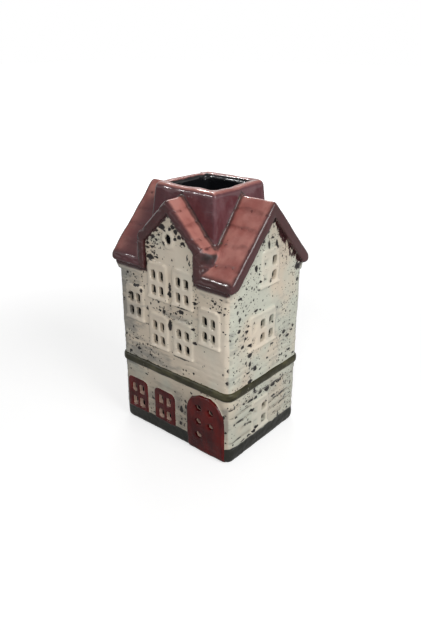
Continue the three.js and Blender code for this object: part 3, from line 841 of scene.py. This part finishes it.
pieces["right_gable_wall"] = house
finishes = {node: (red_glaze, "red_glaze") for node in ("front_door", "red_window_left", "red_window_middle")}
finishes["base_tray"] = (cream_glaze, "plinth_glaze")
for node, piece in pieces.items():
    piece.name = f"glazed_{node}"
    finish_piece(piece, wall_skin, *finishes.get(node, (cream_glaze, "cream_glaze")), node)
bpy.data.objects.remove(wall_skin)

# String course
# A roll of clay as thick as a finger's edge, pressed round the house between the storeys and brushed with
# olive glaze that runs paler in streaks.
BELT_RADIUS = 1.9
BELT_GRAIN = 0.5
BELT_MELT = 4
belt_low, belt_high = cad_box("string_course")
belt = block("glazed_string_course", belt_low, belt_high)
round_edges(belt, CORNER_RADIUS + belt_high.x - half_width, upright, 5)
round_edges(belt, BELT_RADIUS, lambda a, b: abs(a.z - b.z) < SAME)
core = block("belt_core", (-half_width + 1, -half_depth + 1, 0), (half_width - 1, half_depth - 1, FAR))
round_edges(core, CORNER_RADIUS - 1, upright)
carve(belt, core)
fire(belt, BELT_GRAIN, BELT_MELT, relief("rolled clay", lambda r: r.sway(9, 0.8, 2, 41)))

BELT_GLAZE = tint("2a2712")
BELT_PALE = tint("4c4930")
BELT_SPECK = tint("b9b3a0")


def belt_paint(r):
    film = r.noise(6, 3, (1.6, 1.6, 0.7), 42)
    colour = r.mix(r.rise(film, 0.42, 0.75), BELT_GLAZE, BELT_PALE)
    colour = r.mix(r.specks(3.4, 0.35, 0.1, seed=43), colour, BELT_SPECK)
    return colour, 0.28 + film * 0.2, r.noise(1.2, 2, seed=44) * 0.5


finish_piece(belt, None, glaze("olive glaze", belt_paint, 0.35), "olive_glaze", "string_course")

# Roof slopes
# Two thick slabs that meet in a rounded ridge, with courses of tiles pressed faintly into their upper side.
# They are fired as one body with the dormer roof, its cheeks and the chimney.
ROOF_ROUNDING = 2.3
CUT_OVERLAP = 0.5
eave_y = roof_high.y
verge_x = roof_high.x
valley = math.tan(DORMER_PITCH) / math.tan(ROOF_PITCH)


def gable_mass(name, apex, pitch, across, low=(-FAR, -FAR, 0), high=(FAR, FAR)):
    """All that lies under two slopes from an apex, from a low corner to a high one in plan."""
    mass = block(name, low, (high[0], high[1], apex))
    gable_planes(mass, apex, pitch, across)
    return mass


def dormer_plan(half, grow, low_z):
    """A tall block over the dormer that ends behind in the point of the two valleys."""
    plan = block("dormer_plan", (-half, -FAR, low_z), (half, grow, 2 * FAR))
    for side in (-1, 1):
        slice_off(plan, (0, grow, 0), (side * valley, 1, 0))
    return plan


roof = block("roof", (-verge_x, -eave_y, eave_z), (verge_x, eave_y, ridge_z))
gable_planes(roof, ridge_z, ROOF_PITCH, 1)
underside = below_ridge(ROOF_THICKNESS, ROOF_PITCH)
loft = gable_mass("loft", underside, ROOF_PITCH, 1, (-FAR, -FAR / 2, eave_z - 0.01), (FAR, FAR / 2))
carve(roof, loft)
round_edges(roof, ROOF_ROUNDING,
            lambda a, b: max(a.z, b.z) > underside + 1 or max(abs(a.y), abs(b.y)) > eave_y - 0.1)
carve(roof, dormer_plan(cheek_high.x - CUT_OVERLAP, 0, 0))

# Dormer roof
# Two shorter slabs over the dormer, as high as the main ridge, bedded into the front slope along the valleys.
# Their front ends frame the dormer in a dark plum band.
VALLEY_LIP = ((24.3, -38.3), (26.1, -28.0))
LIP_PITCH = math.radians(38)
LIP_ROOT = 20.0
LIP_FOOT = 29.0
LIP_SOFT = 2.4
dormer_low, dormer_high = cad_box("dormer_roof_right")
bore = -dormer_high.y
bed_top = below_ridge(ROOF_THICKNESS - 1, ROOF_PITCH)


def cut_below_bed(piece):
    """Takes off what lies deeper under the front slope than a luted piece reaches."""
    slice_off(piece, (0, 0, bed_top), (0, math.sin(ROOF_PITCH), -math.cos(ROOF_PITCH)))


dormer = block("dormer", (-dormer_high.x, -eave_y, dormer_low.z), (dormer_high.x, -bore, ridge_z))
gable_planes(dormer, ridge_z, DORMER_PITCH, 0)
dormer_under = below_ridge(DORMER_THICKNESS, DORMER_PITCH)
carve(dormer, gable_mass("attic", dormer_under, DORMER_PITCH, 0, (-FAR / 2, -FAR, eave_z - 20), (FAR / 2, FAR)))
round_edges(dormer, ROOF_ROUNDING, lambda a, b: max(a.y, b.y) < -eave_y + 0.1 or min(a.z, b.z) > ridge_z - 0.1)
carve(dormer, gable_mass("below_main", bed_top, ROOF_PITCH, 1, (-FAR / 2, -FAR, 0), (FAR / 2, FAR)))
carve(roof, dormer, "UNION")

# The dormer slopes are drawn on over the front slope with the thumb, to a lip that swings out from the band of
# the dormer to where it melts into the front slope
(lip_x, lip_y), (lip_end_x, lip_end_y) = VALLEY_LIP
for side in (-1, 1):
    low_x, high_x = sorted((side * (cheek_low.x + 1), side * (lip_end_x + 4)))
    fill = block("fill", (low_x, lip_y, eave_z + 1), (high_x, -bore - 3, ridge_z))
    slice_off(fill, (side * lip_x, lip_y, 0), (side * (lip_end_y - lip_y), lip_x - lip_end_x, 0))
    slice_off(fill, (side * LIP_ROOT, 0, ridge_z - LIP_ROOT),
              (side * math.sin(LIP_PITCH), 0, math.cos(LIP_PITCH)))
    cut_below_bed(fill)
    round_edges(fill, LIP_SOFT,
                lambda a, b: min(a.z, b.z) > ridge_z - LIP_FOOT and min(abs(a.x), abs(b.x)) > lip_x - 0.1)
    carve(roof, fill, "UNION")

# Dormer cheeks
# Two narrow upright slabs that close the sides of the dormer. Their front edges run on from the dormer's band
# down to the eaves, as dark strips beside the cream front.
CHEEK_ROUNDING = 1.2
for side in (-1, 1):
    low_x, high_x = sorted((side * cheek_low.x, side * (dormer_high.x - 0.4)))
    cheek = block("cheek", (low_x, cheek_low.y, cheek_low.z), (high_x, cheek_high.y, ridge_z))
    slice_off(cheek, (0, 0, below_ridge(DORMER_THICKNESS - BED, DORMER_PITCH)),
              (side * math.sin(DORMER_PITCH), 0, math.cos(DORMER_PITCH)))
    cut_below_bed(cheek)
    round_edges(cheek, CHEEK_ROUNDING, lambda a, b: max(a.y, b.y) < cheek_low.y + 0.1)
    carve(roof, cheek, "UNION")

# Chimney frame
# A square, open collar of thick clay on the crossing of the ridges, wider at its foot, where the heat of the
# candle leaves. Its lip is soft and uneven; outside it is plum, inside nearly black.
LIP_ROUNDING = 3.1
COLLAR_FOOT = 128.0
COLLAR_HALF = 24.0
CORNER_SOFT = 4.5
CORNER_NEAR = 1.6
FLUE_CORNER = 2.5
EMBED = 2.5
chimney_high = cad_box("chimney_frame")[1]
foot_half = chimney_high.x + 0.6


def collar_block(name, growth):
    collar = block(name, (-COLLAR_HALF - growth, -COLLAR_HALF - growth, COLLAR_FOOT),
                   (COLLAR_HALF + growth, COLLAR_HALF + growth, chimney_high.z + 5 * growth))
    pick(collar, "VERT", "vertices", lambda vertex: vertex.co.z < (COLLAR_FOOT + 1) * MM)
    widen = (foot_half + growth) / (COLLAR_HALF + growth)
    bpy.ops.transform.resize(value=(widen, widen, 1), center_override=(0, 0, COLLAR_FOOT * MM))
    bpy.ops.object.mode_set(mode="OBJECT")
    return collar


def trim_foot(collar):
    """Cuts the foot of a collar to the slopes that it is bedded in."""
    carve(collar, gable_mass("main_below", below_ridge(EMBED, ROOF_PITCH), ROOF_PITCH, 1))
    carve(collar, gable_mass("dormer_below", below_ridge(EMBED, DORMER_PITCH), DORMER_PITCH, 0,
                             (-FAR, -FAR, eave_z), (FAR, 0)))


collar = collar_block("collar", 0)
round_edges(collar, CORNER_SOFT, lambda a, b: abs(a.z - b.z) > 10 and min(a.x, -a.y) < 0, 5)
round_edges(collar, CORNER_NEAR, lambda a, b: abs(a.z - b.z) > 10 and min(a.x, -a.y) > COLLAR_HALF - 0.5, 3)
flue = block("flue", (-bore, -bore, 0), (bore, bore, 2 * FAR))
round_edges(flue, FLUE_CORNER, upright)
carve(collar, copied(flue, "collar_flue"))
lip = chimney_high.z
round_edges(collar, LIP_ROUNDING, lambda a, b: min(a.z, b.z) > lip - SAME)
carve(collar, collar_block("collar_outline", 0.01), "INTERSECT")
trim_foot(collar)
carve(roof, collar, "UNION")
carve(roof, flue)

# Firing and glazing of the roof
# A dusty red-brown glaze runs off the edges to dark plum; faces that look up are painted milky and pale, partly
# where it lies thick and partly as painted reflection of the sky. The pocket beside the dormer is painted
# nearly black, partly pooled glaze and partly painted shade, and the creases at the chimney get painted shade
# and olive flecks.
ROOF_GRAIN = 0.5
ROOF_MELT = 14
COURSE_LINE = 126.6
COURSE_RISE = 8.6
DORMER_COURSE_LINE = 139.0
DORMER_COURSE_RISE = 7.2
POCKET = (26.0, -33.0, 127.5)
POCKET_REACH = (3.8, 5.0, 4.6)
POOL_AND_SHADE = (26.0, -31.8, 130.4)
POOL_AND_SHADE_REACH = (7.0, 7.4, 5.4)


def on_dormer(r):
    """1 where the dormer roof is higher than the front slope."""
    higher = (r.y * -math.tan(ROOF_PITCH)) - abs(r.x) * math.tan(DORMER_PITCH)
    return r.rise(higher, -0.5, 0.5) * r.fall(abs(r.x), dormer_high.x + 0.2, dormer_high.x + 0.6)


def slopes_top(r):
    """The height of the slopes where a place is in plan."""
    main_top = ridge_z - abs(r.y) * math.tan(ROOF_PITCH)
    dormer_top = ridge_z - abs(r.x) * math.tan(DORMER_PITCH) - r.rise(r.y, -0.5, 0.5) * FAR
    return main_top.high(dormer_top)


def on_collar(r):
    """1 on the chimney frame, above the slopes that it stands on."""
    wide = r.fall(abs(r.x).high(abs(r.y)), foot_half + 0.2, foot_half + 0.8)
    return wide * r.rise(r.z - slopes_top(r), 0.6, 1.6)


def in_crease(r):
    """1 in the corner between the chimney frame and the slopes round it."""
    half = COLLAR_HALF + (lip - r.z) * ((foot_half - COLLAR_HALF) / (lip - COLLAR_FOOT))
    ragged = r.noise(2.5, 2, seed=76) * 1.2
    above = r.fall(abs(r.z - slopes_top(r)) - ragged, 0.2, 2.0)
    return above * r.fall(abs(abs(r.x).high(abs(r.y)) - half) - ragged, 0.2, 2.0)


def courses(r):
    """How near a place is to the line between two courses: 0 on the line, 0.5 half way between."""
    wave = r.sway(20, 4.2, seed=51) + r.sway(6.5, 1.5, seed=52)
    main = (r.z - COURSE_LINE + wave) / COURSE_RISE
    small = (r.z - DORMER_COURSE_LINE + wave * 0.7) / DORMER_COURSE_RISE
    main, small = (abs(course - course.nearest_whole()) for course in (main, small))
    dormer_share = on_dormer(r)
    return main * (1 - dormer_share) + small * dormer_share


def roof_relief(r):
    fades = r.rise(r.noise(9, 1, seed=53), 0.28, 0.5) * r.fall(abs(r.x), verge_x - 5, verge_x - 2)
    groove = r.fall(courses(r), 0.0, 0.24) * fades * (1 - on_collar(r))
    pocket = r.fall(r.ball(POCKET, POCKET_REACH), 0.2, 1.0)
    swell = r.sway(16, 1.3, seed=54) + r.sway(4.5, 0.3, 2, 55)
    sway = r.sway(22, 1.4, seed=71) * r.rise(r.z, ridge_z - 2, ridge_z + 2)
    return swell + sway - groove * 0.3 - pocket * 1.1 - 0.15


fire(roof, ROOF_GRAIN, ROOF_MELT, relief("pressed tiles", roof_relief))
roof_skin = skin_of(roof)

ROOF_DUSTY = tint("b5796f")
ROOF_RED = tint("9a5a53")
ROOF_PLUM = tint("5a3036")
ROOF_VIOLET = tint("724d52")
ROOF_BAND = tint("482828")
ROOF_LINE = tint("6b3a36")
ROOF_DOT = tint("4c211f")
ROOF_DARK = tint("1d1614")
ROOF_OLIVE = tint("4c4534")
ROOF_SHADE = tint("2e1b1b")
TILE_PITCH = 5.2


def roof_paint(r):
    up = r.split(r.node("ShaderNodeTexCoord", {}, {}, "Normal"))[2]
    slope = r.rise(up, 0.3, 0.66)
    cloud = r.rise(r.noise(12, 4, seed=61) + on_dormer(r) * 0.1, 0.34, 0.66)
    colour = r.mix(cloud, ROOF_RED, ROOF_DUSTY)
    near = courses(r)
    broken = r.rise(r.noise(5, 3, seed=62), 0.38, 0.6)
    colour = r.mix(r.fall(near, 0.0, 0.18) * (broken * 0.4 + 0.08), colour, ROOF_LINE)
    dormer_share = on_dormer(r)
    across = (r.x * (1 - dormer_share) + r.y * dormer_share) / TILE_PITCH
    across = across + r.sway(14, 0.8, seed=67)
    joint = r.point(abs(across - across.nearest_whole()) * TILE_PITCH, near * 11)
    dots = r.fall(r.length(joint), 0.5, 1.3) * r.rise(r.noise(4, 1, seed=68), 0.5, 0.6)
    colour = r.mix(dots * 0.7, colour, ROOF_DOT)
    colour = r.mix(r.specks(3.1, 0.34, 0.16, seed=63) * 0.8, colour, ROOF_DOT)
    edge = (verge_x - abs(r.x)).low(eave_y - abs(r.y))
    collar_share = on_collar(r)
    worn = r.fall(edge + r.sway(4, 1.5, 2, 69), 0.8, 3.6)
    worn = worn.high(collar_share * r.fall(up, 0.5, 0.9))
    streak = r.rise(r.noise(7, 3, (1, 1, 2.5), 64), 0.42, 0.7)
    band = r.mix(streak * 0.4, ROOF_BAND, ROOF_PLUM)
    plum = r.mix(collar_share, band, r.mix(streak * 0.6, ROOF_PLUM, ROOF_VIOLET))
    # Partly painted reflection: faces that look up are painted dusty and pale, partly for the sky that they
    # mirror
    colour = r.mix(slope * (1 - worn), plum, colour)
    # Painted shade: the front slope left of the dormer is painted towards plum
    shade_left_of_dormer = r.rise(r.x, -50, -34) * r.fall(r.x, -dormer_high.x, -dormer_high.x + 1) * r.fall(r.y, -12, -4)
    colour = r.mix(shade_left_of_dormer * 0.85, colour, ROOF_PLUM)
    # Painted shade: the creases at the foot of the chimney frame are painted dark; olive flecks show where the
    # glaze breaks
    crease = in_crease(r)
    colour = r.mix(crease * 0.8, colour, ROOF_SHADE)
    flecks = r.specks(1.8, 0.75, 0.6, seed=70) * r.rise(r.x, 20, 23)
    colour = r.mix(crease * flecks * 0.9, colour, ROOF_OLIVE)
    # Partly painted shade: under the lip beside the dormer the glaze is painted nearly black, partly pooled
    # glaze and partly shade
    from_pool_and_shade = r.ball(POOL_AND_SHADE, POOL_AND_SHADE_REACH)
    pool_and_shade = r.fall(from_pool_and_shade + r.sway(3, 0.7, 3, 74), 0.3, 1.05) * r.fall(up, 0.4, 0.8)
    colour = r.mix(pool_and_shade * 0.9, colour, ROOF_DARK)
    inner = r.fall(abs(r.x).high(abs(r.y)) + r.sway(4, 1.2, 2, 75), bore + 0.9, bore + 2.0)
    # Painted shade: the underside of the slopes inside the house is painted nearly black, as the bore of the
    # chimney is
    main_top = ridge_z - abs(r.y) * math.tan(ROOF_PITCH)
    indoors = r.rise(half_depth - abs(r.y), 0.5, 1.5) * r.rise(half_width - abs(r.x), 0.5, 1.5)
    loft_side = r.rise((main_top - r.z) * math.cos(ROOF_PITCH), 5.5, 6.5) * indoors * r.fall(up, -0.3, 0.1)
    colour = r.mix(inner.high(loft_side), colour, INSIDE)
    dull = (crease * 0.3).high(r.fall(from_pool_and_shade, 0.7, 1.3))
    roughness = 0.08 + r.noise(6, 2, seed=66) * 0.16 + dull * 0.3
    height = r.noise(1.6, 2, seed=65) * 0.22 - dots * 0.3
    return colour, roughness, height


roof_glaze = glaze("dusty red roof glaze", roof_paint)
collar_room = collar_block("collar_room", 0.9)
trim_foot(collar_room)
pieces = {"chimney_frame": parted(roof, collar_room, "chimney_frame")}
dormer_room = dormer_plan(dormer_high.x + 0.6, 0.9, dormer_low.z - 0.3)
carve(dormer_room, gable_mass("main_bed", below_ridge(EMBED, ROOF_PITCH), ROOF_PITCH, 1))
carve(dormer_room, gable_mass("dormer_bed", dormer_under, DORMER_PITCH, 0))
dormer = parted(roof, dormer_room, "dormer_roof_right")
left_half = block("left_half", (-FAR, -FAR, 0), (0, FAR, 2 * FAR))
pieces["dormer_roof_left"] = parted(dormer, copied(left_half, "left_of_dormer"), "dormer_roof_left")
pieces["dormer_roof_right"] = dormer
for place, side in (("left", -1), ("right", 1)):
    low_x, high_x = sorted((side * (cheek_low.x - 1), side * (cheek_high.x + 0.3)))
    cheek_room = block("cheek_room", (low_x, -FAR, eave_z - 2), (high_x, cheek_high.y, ridge_z))
    pieces[f"dormer_cheek_{place}"] = parted(roof, cheek_room, f"dormer_cheek_{place}")
pieces["back_roof"] = parted(roof, block("behind", (-FAR, 0, 0), (FAR, FAR, 2 * FAR)), "back_roof")
pieces["front_roof_left"] = parted(roof, left_half, "front_roof_left")
pieces["front_roof_right"] = roof
for node, piece in pieces.items():
    piece.name = f"glazed_{node}"
    finish_piece(piece, roof_skin, roof_glaze, "roof_glaze", node)
bpy.data.objects.remove(roof_skin)

# Studio
# A pale floor that runs to white, a soft lamp from the right, a weaker one beside the camera and one behind,
# small ones that only give the gloss its glints, and the camera where the photograph was taken.
FLOOR_SIZE = 12.0
FLOOR_GLOW = 0.62
FLOOR_MIRRORED = 0.12
FLOOR_FADE = (180, 700)
AIR_LIGHT = 0.27
AIR_MIRRORED = 0.4


def rays(recipe):
    """1 for what the camera sees straight or through glass, and 1 for what a glaze mirrors."""
    straight, through, mirrored = (recipe.node("ShaderNodeLightPath", {}, {}, kind)
                                   for kind in ("Is Camera Ray", "Is Transmission Ray", "Is Glossy Ray"))
    return straight.high(through), mirrored


bpy.ops.object.select_all(action="DESELECT")
bpy.ops.mesh.primitive_plane_add(size=FLOOR_SIZE, location=(0, 0, 0))
floor = bpy.context.object
floor.name = "studio_floor"
floor_material, studio = blank_material("studio floor")
diffuse = studio.node("ShaderNodeBsdfDiffuse", {}, {"Color": (0.5, 0.5, 0.5, 1)})
seen, mirrored = rays(studio)
afar = studio.rise(studio.length(studio.place), *FLOOR_FADE)
shown = seen.high(mirrored * FLOOR_MIRRORED) * (afar * 0.5 + FLOOR_GLOW)
glow = studio.node("ShaderNodeEmission", {}, {"Color": (1, 1, 1, 1), "Strength": shown})
surface = studio.node("ShaderNodeAddShader", {}, {0: diffuse, 1: glow})
studio.node("ShaderNodeOutputMaterial", {}, {"Surface": surface})
floor.data.materials.append(floor_material)
floor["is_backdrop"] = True


def softbox(name, place, aim, size, power, lights_up=True, mirrored=True):
    bpy.ops.object.select_all(action="DESELECT")
    bpy.ops.object.light_add(type="AREA", location=place)
    lamp = bpy.context.object
    lamp.name = name
    lamp.data.shape = "SQUARE"
    lamp.data.size = size
    lamp.data.energy = power
    lamp.visible_diffuse = lights_up
    lamp.visible_glossy = mirrored
    lamp.rotation_euler = (Vector(aim) - Vector(place)).to_track_quat("-Z", "Y").to_euler()


softbox("key_softbox", (0.80, -0.10, 0.62), (0, 0, 0.08), 0.45, 4.7)
softbox("near_softbox", (0.34, -0.46, 0.46), (0.02, 0, 0.09), 0.12, 1.25, mirrored=False)
softbox("back_softbox", (-0.50, 0.55, 0.85), (0, 0, 0.08), 0.45, 2.5)
softbox("left_glint", (-0.53, 0.30, 0.80), (0, 0, 0.14), 0.045, 1.6, lights_up=False)
softbox("front_glint", (-0.53, -0.62, 0.50), (0, 0, 0.14), 0.045, 1.3, lights_up=False)
softbox("low_glint", (0.20, -0.27, 0.03), (0, 0, 0.13), 0.02, 0.025)

world = bpy.data.worlds.new("studio")
bpy.context.scene.world = world
world.use_nodes = True
world.node_tree.nodes.clear()
air = Recipe(world.node_tree, "ShaderNodeTexCoord", "Generated")
seen, mirrored = rays(air)
overhead = air.rise(air.z * MM, 0.1, 0.45)
mirrored = mirrored * (1 - AIR_LIGHT - overhead * (1 - AIR_MIRRORED))
strength = seen * (1 - AIR_LIGHT) + mirrored + AIR_LIGHT
background = air.node("ShaderNodeBackground", {}, {"Color": (1, 1, 1, 1), "Strength": strength})
air.node("ShaderNodeOutputWorld", {}, {"Surface": background})

AZIMUTH = math.radians(40.412)
ELEVATION = math.radians(24.199)
DISTANCE = 395.8
AIM = (0, 0, 80.0)
SHIFT_RIGHT = 0.48
SHIFT_UP = -3.47
LENS = 34.91
back = Vector((math.sin(AZIMUTH) * math.cos(ELEVATION), -math.cos(AZIMUTH) * math.cos(ELEVATION),
               math.sin(ELEVATION)))
right = Vector((math.cos(AZIMUTH), math.sin(AZIMUTH), 0))
up = back.cross(right)
bpy.ops.object.camera_add(location=(Vector(AIM) + back * DISTANCE + right * SHIFT_RIGHT + up * SHIFT_UP) * MM)
camera = bpy.context.object
camera.name = "photo_camera"
camera.rotation_mode = "QUATERNION"
camera.rotation_quaternion = (-back).to_track_quat("-Z", "Y")
camera.data.lens = LENS
camera.data.clip_start = 0.01
bpy.context.scene.camera = camera
bpy.context.scene.view_settings.view_transform = "Standard"

low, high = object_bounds()
